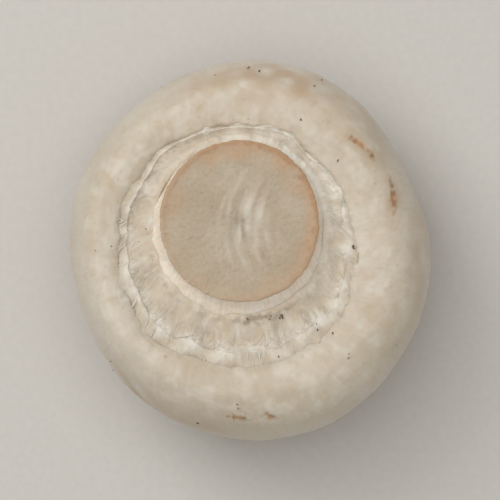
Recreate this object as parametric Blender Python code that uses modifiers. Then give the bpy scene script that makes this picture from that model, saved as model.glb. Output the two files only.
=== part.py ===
"""A closed button mushroom, picked and trimmed, lying on the crown of its cap with the cut stem up.

Three pieces: the cap, the stem whose root stands in a socket under the cap, and the torn veil in the groove
between cap and stem. Each is turned round the mushroom's axis, with the crown of the cap at the origin and
the stem upwards. One growth formula then makes all three uneven together, so that they still fit. A knife
trims the stem, and the crown is flat where the mushroom lies on it.
"""

import math

import bmesh
import bpy
import numpy as np

MM = 0.001

# Cap: radii from the axis, and heights above the crown
CAP_RADIUS = 20.6 * MM
CAP_WIDEST_HEIGHT = 14.6 * MM
CAP_FULLNESS = 2.2
SHOULDER_RADIUS = 15.8 * MM
SHOULDER_HEIGHT = 24.1 * MM
MARGIN_RADIUS = 13.2 * MM
MARGIN_HEIGHT = 22.9 * MM
MARGIN_WIDTH = 2.2 * MM

# Hollow under the cap: a ledge that holds the veil, and the stem's socket
LEDGE_RADIUS = 13.9 * MM
LEDGE_HEIGHT = 21.4 * MM
SOCKET_FLOOR = 17.2 * MM
SOCKET_ROUNDING = 1.4 * MM
GAP = 0.3 * MM

# Stem: it flares from the cut down to the cap
CUT_RADIUS = 8.7 * MM
CUT_HEIGHT = 25.5 * MM
CUT_SLANT = math.radians(2)
TRIMMED_OFF = 0.6 * MM
FOOT_RADIUS = 10.1 * MM
FOOT_HEIGHT = 22.5 * MM
FLARE_FULLNESS = 1.6

# Veil: a ring with a raised, tattered edge near the margin of the cap
VEIL_THICKNESS = 0.9 * MM
VEIL_OUTER_DROP = 0.3 * MM
VEIL_EDGE_RADIUS = 12.4 * MM
VEIL_EDGE_RISE = 0.7 * MM
VEIL_EDGE_FULLNESS = 1.5
VEIL_TATTER = 0.5 * MM

# Growth: lobes are (how many, share of the radius, bearing of one in radians)
LOBES = ((2, 0.031, math.radians(-74)), (3, 0.012, math.radians(-43)), (5, 0.005, math.radians(20)))
STEM_LOBE_SHARE = 0.4
LUMP_HEIGHT = 0.5 * MM
LUMP_SPACING = 22 * MM
MARGIN_WANDER = 0.5 * MM
UNDERSIDE_OFFSET = 1.7 * MM
UNDERSIDE_BEARING = math.radians(190)
STEM_OFFSET = 2.4 * MM
STEM_LEAN = 0.8 * MM
STEM_BEARING = math.radians(84)

# Dents in the cap: (bearing, elevation seen from the cap's middle, width, depth)
CAP_DENTS = (
    (math.radians(205), math.radians(-30), 8.0 * MM, 0.6 * MM),
    (math.radians(28), math.radians(8), 6.0 * MM, 0.5 * MM),
    (math.radians(322), math.radians(-8), 9.0 * MM, 1.0 * MM),
)

# Rest: how far the mushroom tips on its crown, and how deep the crown is pressed flat
TIP = math.radians(3)
CROWN_PRESSED = 0.4 * MM

# Fineness
CAP_STEPS = 72
STEM_STEPS = 56
VEIL_STEPS = 84
SEED = 11


def linear(hex_colour):
    """Linear red, green and blue of an sRGB colour such as "c9bda9"."""
    shares = np.array([int(hex_colour[i:i + 2], 16) / 255 for i in (0, 2, 4)])
    return np.where(shares <= 0.04045, shares / 12.92, ((shares + 0.055) / 1.055) ** 2.4)


def matt_material(name, hex_colour, roughness):
    """One even colour, not metallic."""
    material = bpy.data.materials.new(name)
    material.use_nodes = True
    shader = material.node_tree.nodes["Principled BSDF"]
    shader.inputs["Base Color"].default_value = (*linear(hex_colour), 1)
    shader.inputs["Roughness"].default_value = roughness
    shader.inputs["Metallic"].default_value = 0
    return material


def quarter(start, end, steps, upright, fullness=2.0):
    """The points of a quarter of an ellipse from start to end, without start. It leaves start along the axis
    where upright, and else across it. A fullness over 2 squares it up."""
    turn = np.linspace(0, math.pi / 2, steps + 1)[1:]
    leading = np.sin(turn) ** (2 / fullness)
    trailing = 1 - np.cos(turn) ** (2 / fullness)
    trailing[-1] = 1
    radius_share, height_share = (trailing, leading) if upright else (leading, trailing)
    radii = start[0] + (end[0] - start[0]) * radius_share
    heights = start[1] + (end[1] - start[1]) * height_share
    return list(zip(radii, heights))


def cap_outline():
    """From the middle of the socket up and out over the margin and the shoulder, then down to the crown."""
    socket_radius = FOOT_RADIUS + GAP
    socket_edge = (socket_radius - SOCKET_ROUNDING, SOCKET_FLOOR)
    outline = [(0, SOCKET_FLOOR), (socket_radius / 2, SOCKET_FLOOR), socket_edge]
    outline += quarter(socket_edge, (socket_radius, SOCKET_FLOOR + SOCKET_ROUNDING), 3, upright=False)
    outline += [(socket_radius, LEDGE_HEIGHT), (LEDGE_RADIUS, LEDGE_HEIGHT)]
    outline += quarter(outline[-1], (MARGIN_RADIUS, MARGIN_HEIGHT), 3, upright=True)
    outline += quarter(outline[-1], (SHOULDER_RADIUS, SHOULDER_HEIGHT), 6, upright=True)
    outline += quarter(outline[-1], (CAP_RADIUS, CAP_WIDEST_HEIGHT), 10, upright=False)
    outline += quarter(outline[-1], (0, 0), 15, upright=True, fullness=CAP_FULLNESS)
    return outline


def stem_outline():
    """From the middle of the end, before it is trimmed, down the flared side and in under the root."""
    end_height = CUT_HEIGHT + TRIMMED_OFF
    root_height = SOCKET_FLOOR + GAP
    outline = [(0, end_height), (CUT_RADIUS / 2, end_height), (CUT_RADIUS, end_height)]
    outline += quarter(outline[-1], (FOOT_RADIUS, FOOT_HEIGHT), 8, upright=True, fullness=FLARE_FULLNESS)
    outline += [(FOOT_RADIUS, root_height + SOCKET_ROUNDING)]
    outline += quarter(outline[-1], (FOOT_RADIUS - SOCKET_ROUNDING, root_height), 3, upright=True)
    outline += [(FOOT_RADIUS / 2, root_height), (0, root_height)]
    return outline


def veil_outline():
    """A closed section: up beside the stem, over the raised edge, down beside the margin and back under."""
    inner = FOOT_RADIUS + GAP
    outer = LEDGE_RADIUS - GAP
    under = LEDGE_HEIGHT + GAP
    top = under + VEIL_THICKNESS
    edge = (VEIL_EDGE_RADIUS, top + VEIL_EDGE_RISE)
    beside_margin = (outer, top - VEIL_OUTER_DROP)
    outline = [(inner, under), (inner, top)]
    outline += quarter(outline[-1], edge, 5, upright=False)
    outline += quarter(edge, beside_margin, 4, upright=True, fullness=VEIL_EDGE_FULLNESS)
    outline += [(outer, under), ((inner + outer) / 2, under), (inner, under)]
    return outline


def turned(name, outline, steps):
    """A mesh object: the outline carried once round the axis. An outline that starts and ends at the same
    point gives a ring."""
    is_ring = outline[0] == outline[-1]
    count = len(outline) - is_ring
    profile = bpy.data.meshes.new(name + "_profile")
    edges = [(i, (i + 1) % count) for i in range(len(outline) - 1)]
    profile.from_pydata([(radius, 0, height) for radius, height in outline[:count]], edges, [])
    blank = bpy.data.objects.new(name + "_blank", profile)
    bpy.context.scene.collection.objects.link(blank)
    screw = blank.modifiers.new("Turn", "SCREW")
    screw.steps = steps
    screw.render_steps = steps
    screw.use_merge_vertices = True
    screw.merge_threshold = 0.01 * MM
    solid = bpy.data.meshes.new_from_object(blank.evaluated_get(bpy.context.evaluated_depsgraph_get()))
    solid.name = name
    bpy.data.objects.remove(blank)
    return bpy.data.objects.new(name, solid)


def smooth_step(values, low, high):
    """0 below low, 1 above high, and an S-shaped rise between them."""
    share = np.clip((values - low) / (high - low), 0, 1)
    return share * share * (3 - 2 * share)


def ring_waves(bearing, orders, seed):
    """A mean of cosines round the axis, one for each order, with seeded phases; within -1 and 1."""
    phases = np.random.default_rng(seed).uniform(0, 2 * math.pi, len(orders))
    return sum(np.cos(order * bearing + phase) for order, phase in zip(orders, phases)) / len(orders)


def space_waves(points, spacing, seed, count=6):
    """A mean of plane sine waves in seeded directions, at the given spacing; within -1 and 1."""
    chance = np.random.default_rng(seed)
    directions = chance.normal(size=(count, 3))
    directions /= np.linalg.norm(directions, axis=1, keepdims=True)
    phases = chance.uniform(0, 2 * math.pi, count)
    return np.sin(points @ directions.T * (2 * math.pi / spacing) + phases).mean(axis=1)


def grown(points):
    """Where points of the turned shapes lie once the mushroom has grown uneven.

    Round the axis the radius swells in lobes. The margin of the cap wanders in and out. Soft lumps and a few
    dents push points away from the middle of the cap or towards it. The margin and all within it stand off
    the middle of the cap. The stem stands off the middle of the hollow, which stretches the veil on one side,
    and it leans the same way.
    """
    bearing = np.arctan2(points[:, 1], points[:, 0])
    radius = np.hypot(points[:, 0], points[:, 1])
    height = points[:, 2]

    lobes = sum(share * np.cos(count * (bearing - peak)) for count, share, peak in LOBES)
    outwards = smooth_step(radius, CUT_RADIUS, CAP_RADIUS)
    swelling = 1 + lobes * (STEM_LOBE_SHARE + (1 - STEM_LOBE_SHARE) * outwards)
    near_margin = np.exp(-(((radius - MARGIN_RADIUS) / MARGIN_WIDTH) ** 2))
    near_margin *= smooth_step(height, SOCKET_FLOOR, LEDGE_HEIGHT)
    wander = MARGIN_WANDER * near_margin * ring_waves(bearing, (3, 4, 7, 11), SEED)
    stretch = swelling + wander / np.maximum(radius, MM)
    moved = points * np.column_stack([stretch, stretch, np.ones_like(stretch)])

    middle = np.array([0, 0, CAP_WIDEST_HEIGHT])
    away = points - middle
    reach = np.linalg.norm(away, axis=1)
    push = LUMP_HEIGHT * space_waves(points, LUMP_SPACING, SEED)
    for dent_bearing, elevation, width, depth in CAP_DENTS:
        level = math.cos(elevation)
        way = np.array([level * math.cos(dent_bearing), level * math.sin(dent_bearing), math.sin(elevation)])
        distance = np.linalg.norm(away - way * CAP_RADIUS, axis=1)
        push -= depth * np.exp(-((distance / width) ** 2))
    moved += away / np.maximum(reach, MM)[:, None] * (push * smooth_step(reach, 0, CUT_RADIUS))[:, None]

    veil_inner, veil_outer = FOOT_RADIUS + GAP, LEDGE_RADIUS - GAP
    offset = STEM_OFFSET * np.clip((veil_outer - radius) / (veil_outer - veil_inner), 0, 1)
    offset *= smooth_step(height, CAP_WIDEST_HEIGHT / 2, CAP_WIDEST_HEIGHT)
    offset += STEM_LEAN * smooth_step(height, LEDGE_HEIGHT, CUT_HEIGHT)
    underside = UNDERSIDE_OFFSET * smooth_step(height, CAP_WIDEST_HEIGHT, MARGIN_HEIGHT)
    underside *= 1 - smooth_step(radius, MARGIN_RADIUS, CAP_RADIUS)
    for distance, way in ((offset, STEM_BEARING), (underside, UNDERSIDE_BEARING)):
        moved[:, 0] += distance * math.cos(way)
        moved[:, 1] += distance * math.sin(way)
    return moved


def tattered(points):
    """The turned veil with its upper face raised and lowered round the axis, as it was torn."""
    bearing = np.arctan2(points[:, 1], points[:, 0])
    under = LEDGE_HEIGHT + GAP
    upper = smooth_step(points[:, 2], under, under + VEIL_THICKNESS)
    torn = points.copy()
    torn[:, 2] += VEIL_TATTER * upper * ring_waves(bearing, (2, 5, 9, 16), SEED + 1)
    return torn


def reshape(piece, formula):
    """Moves every point of a mesh object by a formula."""
    count = len(piece.data.vertices)
    flat = np.empty(count * 3)
    piece.data.vertices.foreach_get("co", flat)
    piece.data.vertices.foreach_set("co", formula(flat.reshape(count, 3)).ravel())
    piece.data.update()


def block(name, side, location, rotation, collection):
    """A cube that only cuts, and never shows."""
    mesh = bpy.data.meshes.new(name)
    work = bmesh.new()
    bmesh.ops.create_cube(work, size=side)
    work.to_mesh(mesh)
    work.free()
    cube = bpy.data.objects.new(name, mesh)
    cube.location = location
    cube.rotation_euler = rotation
    cube.display_type = "WIRE"
    cube.hide_render = True
    collection.objects.link(cube)
    return cube


def cut_away(piece, cutter):
    """Takes the cutter's volume off the piece."""
    cut = piece.modifiers.new(cutter.name, "BOOLEAN")
    cut.operation = "DIFFERENCE"
    cut.solver = "EXACT"
    cut.object = cutter


def make_piece(name, outline, steps, formulas, material, collection):
    """A turned piece, reshaped by each formula in turn, with its material and shaded smooth."""
    piece = turned(name, outline, steps)
    for formula in formulas:
        reshape(piece, formula)
    piece.data.materials.append(material)
    piece.data.shade_smooth()
    collection.objects.link(piece)
    return piece


def lay_on_crown(pieces, collection):
    """Hangs the pieces on an empty that tips them. It is set so that the surface, at z = 0, is a little above
    the lowest point of the crown, and the origin is below the middle of the mushroom."""
    rest = bpy.data.objects.new("rest", None)
    rest.rotation_euler = (-TIP, 0, 0)
    collection.objects.link(rest)
    for piece in pieces:
        piece.parent = rest
    bpy.context.view_layer.update()
    placed = np.array([piece.matrix_world @ vertex.co for piece in pieces for vertex in piece.data.vertices])
    low, high = placed.min(axis=0), placed.max(axis=0)
    rest.location = (-(low[0] + high[0]) / 2, -(low[1] + high[1]) / 2, -low[2] - CROWN_PRESSED)
    return rest


def main():
    for leftover in list(bpy.data.objects):
        bpy.data.objects.remove(leftover)
    mushroom = bpy.data.collections.new("button_mushroom")
    cutters = bpy.data.collections.new("cutters")
    for collection in (mushroom, cutters):
        bpy.context.scene.collection.children.link(collection)

    cap_skin = matt_material("cap skin", "d6cbb9", 0.6)
    stem_flesh = matt_material("stem flesh", "c9b79f", 0.7)
    veil_down = matt_material("veil down", "cfc3b0", 0.85)
    cap = make_piece("cap", cap_outline(), CAP_STEPS, (grown,), cap_skin, mushroom)
    stem = make_piece("stem", stem_outline(), STEM_STEPS, (grown,), stem_flesh, mushroom)
    veil = make_piece("veil", veil_outline(), VEIL_STEPS, (tattered, grown), veil_down, mushroom)
    rest = lay_on_crown((cap, stem, veil), mushroom)

    side = 3 * CAP_RADIUS
    knife = block("knife", side, (0, 0, CUT_HEIGHT + side / 2), (CUT_SLANT, 0, 0), cutters)
    knife.parent = rest
    surface = block("surface", side, (0, 0, -side / 2), (0, 0, 0), cutters)
    cut_away(stem, knife)
    cut_away(cap, surface)


main()
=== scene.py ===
"""The looks of a closed button mushroom that lies on the crown of its cap, seen from above its cut stem.

The main shapes repeat the dimensions and the growth formula of the solids on much finer grids. Relief adds
what is too fine for the solids: silky skin, a ragged margin, cottony veil and the fibres of the cut stem.
Threads of torn veil and crumbs of soil lie on top.
"""

import math

import bpy
import numpy as np
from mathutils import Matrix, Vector


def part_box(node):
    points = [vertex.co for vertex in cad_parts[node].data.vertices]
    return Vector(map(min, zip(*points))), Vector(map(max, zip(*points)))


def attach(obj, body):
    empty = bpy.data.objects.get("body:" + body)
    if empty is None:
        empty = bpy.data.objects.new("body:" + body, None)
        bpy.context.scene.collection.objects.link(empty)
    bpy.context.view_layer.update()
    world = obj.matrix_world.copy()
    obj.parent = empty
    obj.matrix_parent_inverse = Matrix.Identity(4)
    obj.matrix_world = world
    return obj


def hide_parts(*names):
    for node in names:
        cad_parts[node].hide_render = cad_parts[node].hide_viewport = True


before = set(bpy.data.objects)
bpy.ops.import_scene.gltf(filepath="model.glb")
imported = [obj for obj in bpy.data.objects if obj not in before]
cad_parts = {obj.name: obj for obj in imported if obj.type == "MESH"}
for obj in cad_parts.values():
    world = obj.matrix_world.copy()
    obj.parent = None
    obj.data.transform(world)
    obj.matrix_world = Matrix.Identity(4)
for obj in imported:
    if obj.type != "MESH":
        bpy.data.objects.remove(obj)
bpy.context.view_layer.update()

MM = 0.001

# Shape, as in the solids: radii from the mushroom's axis, and heights above the crown of the cap
CAP_RADIUS = 20.6 * MM
CAP_WIDEST_HEIGHT = 14.6 * MM
CAP_FULLNESS = 2.2
SHOULDER_RADIUS = 15.8 * MM
SHOULDER_HEIGHT = 24.1 * MM
MARGIN_RADIUS = 13.2 * MM
MARGIN_HEIGHT = 22.9 * MM
MARGIN_WIDTH = 2.2 * MM
LEDGE_RADIUS = 13.9 * MM
LEDGE_HEIGHT = 21.4 * MM
SOCKET_FLOOR = 17.2 * MM
SOCKET_ROUNDING = 1.4 * MM
GAP = 0.3 * MM
CUT_RADIUS = 8.7 * MM
CUT_HEIGHT = 25.5 * MM
CUT_SLANT = math.radians(2)
TRIMMED_OFF = 0.6 * MM
FOOT_RADIUS = 10.1 * MM
FOOT_HEIGHT = 22.5 * MM
FLARE_FULLNESS = 1.6
VEIL_THICKNESS = 0.9 * MM
VEIL_EDGE_RADIUS = 12.4 * MM
VEIL_EDGE_RISE = 0.7 * MM
VEIL_EDGE_FULLNESS = 1.5
VEIL_TATTER = 0.5 * MM

# Growth, as in the solids: each lobe is (number, share of the radius, bearing of a peak), and each dent
# (bearing and elevation seen from the middle of the cap, width, depth)
LOBES = ((2, 0.031, math.radians(-74)), (3, 0.012, math.radians(-43)), (5, 0.005, math.radians(20)))
STEM_LOBE_SHARE = 0.4
LUMP_HEIGHT = 0.5 * MM
LUMP_SPACING = 22 * MM
MARGIN_WANDER = 0.5 * MM
MARGIN_ORDERS = (3, 4, 7, 11)
VEIL_ORDERS = (2, 5, 9, 16)
UNDERSIDE_OFFSET = 1.7 * MM
UNDERSIDE_BEARING = math.radians(190)
STEM_OFFSET = 2.4 * MM
STEM_LEAN = 0.8 * MM
STEM_BEARING = math.radians(84)
CAP_DENTS = (
    (math.radians(205), math.radians(-30), 8.0 * MM, 0.6 * MM),
    (math.radians(28), math.radians(8), 6.0 * MM, 0.5 * MM),
    (math.radians(322), math.radians(-8), 9.0 * MM, 1.0 * MM),
)
TIP = math.radians(3)
SEED = 11

# Finer shapes that the solids leave out
VEIL_INNER_RADIUS = FOOT_RADIUS - 0.7 * MM
COLLAR_RADIUS = 9.7 * MM
COLLAR_WIDTH = 1.1 * MM
CREVICE_RADIUS = 13.75 * MM
CREVICE_HEIGHT = 23.2 * MM
RIM_INSET = 0.15 * MM
PITH_OFFSET = np.array([0.6, -0.4, 0]) * MM
PITH_WIDTH = 3.0 * MM
PITH_LENGTH = 4.8 * MM
PITH_BEND = 0.06 / MM
CUT_FADE = 3.5 * MM
FACE_FADE = 0.35 * MM
CHIPPED_WIDTH = 0.3 * MM
LIP_WIDTH = 0.9 * MM
LIP_WEB_WIDTH = 1.5 * MM
PLEAT_LENGTH = 2.2 * MM
SEAM_WIDTH = 0.5 * MM
TORN_WIDTH = 0.5 * MM
RIDGE_WIDTH = 0.6 * MM
GROOVE_RADIUS = VEIL_EDGE_RADIUS + 0.3 * MM
FLOOR_CLEARANCE = 0.02 * MM

# Heights and depths of relief, in millimetres
COLLAR_RISE = 0.9
SEAM_RISE = 0.08
GROOVE_RISE = 0.16
GROOVE_SINK = 0.04
CHIPPED_REACH = 0.05
RIM_RISE = 0.06
RIM_SINK = 0.04
PITH_RISE = 0.04
WOOL_RISE = 0.02
BRUISE_DEPTH = 0.10

# Sides: the bearing where the cut is brownest, and (bearing, reach round the axis) of the others
BROWNEST_BEARING = math.radians(50)
DUSTY_SIDE = (math.radians(-76), math.radians(20))
PALE_SIDE = (math.radians(38), math.radians(45))

# Zones of the cap: where each begins and is complete, the silk as a radius and the others as distances from
# the lip along the skin
SILK_BEGINS = (3 * MM, 9 * MM)
SKIN_SHOWS = (-1.6 * MM, -0.4 * MM)
# Painted shade in the crevice inside the lip fades out over these distances
CREASE_SHADE_ENDS = (-0.5 * MM, 0.5 * MM)
SHOULDER_BEGINS = (0.1 * MM, 1.2 * MM)
SHOULDER_ENDS = (5 * MM, 9 * MM)
DOME_BEGINS = (5 * MM, 10 * MM)
SCALES_BEGIN = (8 * MM, 14 * MM)

# Zones of the stem: down its side from the rim, and rings of the cut as shares of its radius, of which the
# first two are (middle, width)
SIDE_BEGINS = (0.1 * MM, 0.8 * MM)
SIDE_ENDS = (9.5 * MM, 11 * MM)
RAISED_RING = (0.975, 0.03)
SUNKEN_RING = (0.88, 0.07)
BROWNED_RING = (0.70, 1.0)
BROWN_EDGE = (0.92, 0.98)

# Uneven fields, as the function uneven() takes them: (strength, spacing, seed). A strength that is a height
# is in millimetres
CAP_SWELLS = (0.05, 7 * MM, 25)
CAP_RIPPLES = (0.022, 2.4 * MM, 33)
CAP_SILK = (0.008, 0.6 * MM, 26)
LIP_PLEATS = (0.035, 1.3 * MM, 27)
LIP_TATTERS = ((0.12, 1.5 * MM, 30), (0.04, 0.6 * MM, 31))
LIP_FRAYS = (0.05, 1.0 * MM, 32)
TATTERED_STRETCHES = (1, 11 * MM, 34)
WOOL_TUFTS = ((1, 2.8 * MM, 21), (0.5, 1.1 * MM, 35))
WOOL_NAP = (0.018, 0.7 * MM, 28)
SCALY_PATCHES = (1, 12 * MM, 22)
SCALE_EDGES = (0.035, 0.9 * MM, 29)
BRUISE_BREAKS = (0.25, 0.7 * MM, 23)
TAN_AND_SHADE_CLOUDS = (0.3, 3 * MM, 24)
PITH_STREAKS = ((1, 1.2 * MM, 44), (0.5, 0.5 * MM, 64))
PITH_PATCHES = (0.2, 2.2 * MM, 43)
BROWN_WANDER = (0.05, 3 * MM, 40)
RIM_WANDER = (0.015, 1.2 * MM, 39)
CUT_DIMPLES = ((0.03, 3.4 * MM, 45), (0.012, 0.7 * MM, 46))
KNIFE_DRAG = (0.006, 0.55 * MM, 48)
RIM_CHIPS = ((0.04, 2.4 * MM, 49), (0.03, 0.8 * MM, 50))
STEM_FIBRILS = ((0.020, 0.9 * MM, 41), (0.012, 0.35 * MM, 42))
STEM_DIMPLES = ((0.045, 3.2 * MM, 47), (0.012, 0.8 * MM, 38))
COTTON = ((0.045, 2.3 * MM, 51), (0.015, 1.0 * MM, 52), (0.008, 0.45 * MM, 54))
COTTON_FOLDS = (0.012, 0.9 * MM, 53)
SEAM_FOLDS = (0.09, 1.8 * MM, 58)
SEAM_TUFTS = (0.05, 0.8 * MM, 59)
EDGE_TEARS = ((0.10, 1.9 * MM, 55), (0.03, 0.7 * MM, 56))
EDGE_CURLS = (0.05, 1.2 * MM, 57)
GROOVE_BREAKS = ((0.10, 2.2 * MM, 60), (0.03, 0.8 * MM, 63))
DUST_SPECKS = (0.5, 0.8 * MM, 65)

# Where an uneven field begins to show, and where it shows in full
TUFTED = (-0.4, 1.6)
SCALY = (0.6, 1.6)
TATTERED = (-1.2, 0.8)

# How many times as long as wide the streaks of each grain are, and the scale along X, Y and Z that draws the
# lines of the knife out along X
CAP_GRAIN = 9
LIP_GRAIN = 4
STEM_GRAIN = 10
PITH_GRAIN = 5
VEIL_GRAIN = 5
KNIFE_GRAIN = np.array([0.08, 1, 1])

# Fineness of the grids, and how many threads, shreds and pairs of hairs the torn veil has
CAP_COLUMNS = 480
STEM_COLUMNS = 400
VEIL_COLUMNS = 640
THREADS = 200
SHREDS = 120
HAIRS = 240

# Crumbs of peat: (x, y, spread, number, half size) of those that gather, in millimetres, seen from above
CRUMB_SPOTS = (
    (11.3, 0.6, 0.02, 1, 0.42),
    (1.8, -7.7, 0.2, 4, 0.11),
    (3.7, -7.4, 0.2, 5, 0.12),
    (0.2, -7.9, 0.4, 4, 0.08),
    (3.5, -11.9, 0.1, 2, 0.14),
    (7.6, -8.9, 0.4, 4, 0.10),
    (0.2, 20.0, 0.5, 2, 0.16),
    (7.6, 18.6, 0.4, 2, 0.13),
    (-12.0, 2.0, 1.5, 6, 0.10),
    (-1.4, -17.8, 0.8, 4, 0.12),
)
STREWN_CRUMBS = 20
CRUMB_LOWEST = 2 * MM
CRUMB_SEARCH = 0.35 * MM
CRUMB_DENTS = (0.3, 1.6, 61)

# Stage: (name, place, size, power) of each lamp, the floor's half size, the light all round, the camera
LAMPS = (
    ("softbox", (-0.09, 0.10, 0.80), 0.70, 3.5),
    ("key_light", (-0.26, 0.26, 0.42), 0.26, 0.9),
)
FLOOR_REACH = 0.6
ROOM_LIGHT = 0.5
CAMERA_HEIGHT = 0.57
CAMERA_LENS = 360
CAMERA_SENSOR = 36

# Marks on the cap: (bearing, distance from the lip along the skin, half length, half width, turn from the
# way round the cap, strength), angles in degrees and lengths in millimetres
BRUISES = (
    (42, 4.3, 1.5, 0.38, -16, 0.9),
    (36, 4.9, 0.8, 0.45, -10, 0.8),
    (19, 5.35, 2.7, 0.5, 14, 0.75),
    (266, 6.5, 1.6, 0.6, 0, 0.7),
    (277, 6.1, 1.0, 0.5, 20, 0.7),
    (112, 14.0, 2.6, 0.7, 70, 0.7),
    (170, 17.0, 1.2, 0.5, 15, 0.8),
    (228, 20.0, 2.2, 0.6, -50, 0.8),
    (320, 18.0, 1.4, 0.9, 30, 0.6),
    (350, 23.0, 1.8, 0.4, 80, 0.7),
    (75, 21.0, 1.0, 0.6, 0, 0.7),
)
# Tan patches, except the rows at bearings 0 and 4, which are painted shade on the right of the shoulder
TANNED_AND_SHADED_PATCHES = (
    (84, 6.6, 7.0, 3.5, 0, 1.35),
    (58, 8.4, 4.5, 1.6, 0, 0.7),
    (18.5, 5.3, 3.0, 0.8, 14, 2.0),
    (0, 8.5, 5.0, 2.4, 0, 0.7),
    (4, 4.5, 5.5, 4.5, 0, 0.25),
    (39, 4.6, 2.4, 0.8, -14, 0.8),
    (238, 10.5, 7.0, 3.0, 0, 0.8),
    (150, 20.0, 6.0, 4.0, 20, 0.5),
    (330, 22.0, 5.0, 3.0, -20, 0.5),
)


def quarter(start, end, steps, upright, fullness=2.0):
    """The points of a quarter of a superellipse from start to end, without start: one share runs as
    sin(turn)^(2/fullness), the other as 1 - cos(turn)^(2/fullness). It leaves start along the axis where
    upright, and else across it."""
    turn = np.linspace(0, math.pi / 2, steps + 1)[1:]
    leading = np.sin(turn) ** (2 / fullness)
    trailing = 1 - np.cos(turn) ** (2 / fullness)
    trailing[-1] = 1
    shares = np.column_stack([trailing, leading] if upright else [leading, trailing])
    return np.array(start) + (np.array(end) - np.array(start)) * shares


def straight(start, end, steps):
    """Even points on the line from start to end, without start."""
    shares = np.linspace(0, 1, steps + 1)[1:, None]
    return np.array(start) + (np.array(end) - np.array(start)) * shares


def cap_outline():
    """Radius and height from the socket out over the lip and the shoulder and down to the crown."""
    socket_radius = FOOT_RADIUS + GAP
    start = (0.2 * MM, SOCKET_FLOOR)
    floor_edge = (socket_radius - SOCKET_ROUNDING, SOCKET_FLOOR)
    wall_foot = (socket_radius, SOCKET_FLOOR + SOCKET_ROUNDING)
    wall_top = (socket_radius, LEDGE_HEIGHT)
    ledge_end = (LEDGE_RADIUS, LEDGE_HEIGHT)
    lip = (MARGIN_RADIUS, MARGIN_HEIGHT)
    shoulder = (SHOULDER_RADIUS, SHOULDER_HEIGHT)
    widest = (CAP_RADIUS, CAP_WIDEST_HEIGHT)
    parts = [
        [start],
        straight(start, floor_edge, 2),
        quarter(floor_edge, wall_foot, 2, upright=False),
        straight(wall_foot, wall_top, 2),
        straight(wall_top, ledge_end, 4),
        quarter(ledge_end, lip, 10, upright=True),
        quarter(lip, shoulder, 30, upright=True),
        quarter(shoulder, widest, 68, upright=False),
        quarter(widest, (0, 0), 76, upright=True, fullness=CAP_FULLNESS)[:-1],
    ]
    return np.vstack(parts)


def stem_outline():
    """Radius and height from the middle of the cut over its rim, down the flare and under the root."""
    root_height = SOCKET_FLOOR + GAP
    start = (0.1 * MM, CUT_HEIGHT)
    rim = (CUT_RADIUS, CUT_HEIGHT)
    root_edge = (FOOT_RADIUS - SOCKET_ROUNDING, root_height)
    uncut_rim = (CUT_RADIUS, CUT_HEIGHT + TRIMMED_OFF)
    flank = quarter(uncut_rim, (FOOT_RADIUS, FOOT_HEIGHT), 70, upright=True, fullness=FLARE_FULLNESS)
    below_cut = flank[:, 1] < CUT_HEIGHT - 0.05 * MM
    parts = [
        [start],
        straight(start, rim, 72),
        flank[below_cut],
        straight((FOOT_RADIUS, FOOT_HEIGHT), (FOOT_RADIUS, root_height + SOCKET_ROUNDING), 6),
        quarter((FOOT_RADIUS, root_height + SOCKET_ROUNDING), root_edge, 4, upright=True),
        straight(root_edge, (0.5 * MM, root_height), 4),
    ]
    return np.vstack(parts)


def veil_outline():
    """The closed section of the veil: up beside the stem, over the torn edge, down into the crevice at the
    margin and back under. It reaches into the stem, and lies closer to the margin than the solid does."""
    under = LEDGE_HEIGHT + GAP
    inner_foot = (VEIL_INNER_RADIUS, under)
    inner_top = (VEIL_INNER_RADIUS, under + VEIL_THICKNESS)
    edge = (VEIL_EDGE_RADIUS, under + VEIL_THICKNESS + VEIL_EDGE_RISE)
    crevice = (CREVICE_RADIUS, CREVICE_HEIGHT)
    outer_foot = (LEDGE_RADIUS - GAP, under)
    parts = [
        [inner_foot],
        straight(inner_foot, inner_top, 3),
        quarter(inner_top, edge, 34, upright=False),
        quarter(edge, crevice, 18, upright=True, fullness=VEIL_EDGE_FULLNESS),
        straight(crevice, outer_foot, 3),
        straight(outer_foot, inner_foot, 6)[:-1],
    ]
    return np.vstack(parts)


def bearings(columns):
    """Even bearings round the axis, one for each column of a grid."""
    return np.arange(columns)[None, :] / columns * 2 * math.pi


def turned(outline, columns):
    """A grid of points: each outline point carried round the axis at even bearings."""
    bearing = bearings(columns)
    radius, height = outline[:, :1], outline[:, 1:]
    level = np.ones_like(bearing)
    return np.stack([radius * np.cos(bearing), radius * np.sin(bearing), height * level], axis=2)


def smooth_step(values, low, high):
    """0 below low, 1 above high, and an S-shaped rise of share^2 (3 - 2 share) between them."""
    share = np.clip((values - low) / (high - low), 0, 1)
    return share * share * (3 - 2 * share)


def bell(values, middle, width):
    """A bell-shaped weight: exp(-((value - middle) / width)^2)."""
    return np.exp(-(((values - middle) / width) ** 2))


def ring_waves(bearing, orders, seed):
    """A mean of cosines round the axis, one for each order, with seeded phases; within -1 and 1."""
    phases = np.random.default_rng(seed).uniform(0, 2 * math.pi, len(orders))
    return sum(np.cos(order * bearing + phase) for order, phase in zip(orders, phases)) / len(orders)


def space_waves(points, spacing, seed, count=6):
    """A mean of plane sine waves in seeded directions, at the given spacing; within -1 and 1."""
    chance = np.random.default_rng(seed)
    directions = chance.normal(size=(count, 3))
    directions /= np.linalg.norm(directions, axis=1, keepdims=True)
    phases = chance.uniform(0, 2 * math.pi, count)
    return np.sin(points @ directions.T * (2 * math.pi / spacing) + phases).mean(axis=-1)


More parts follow.
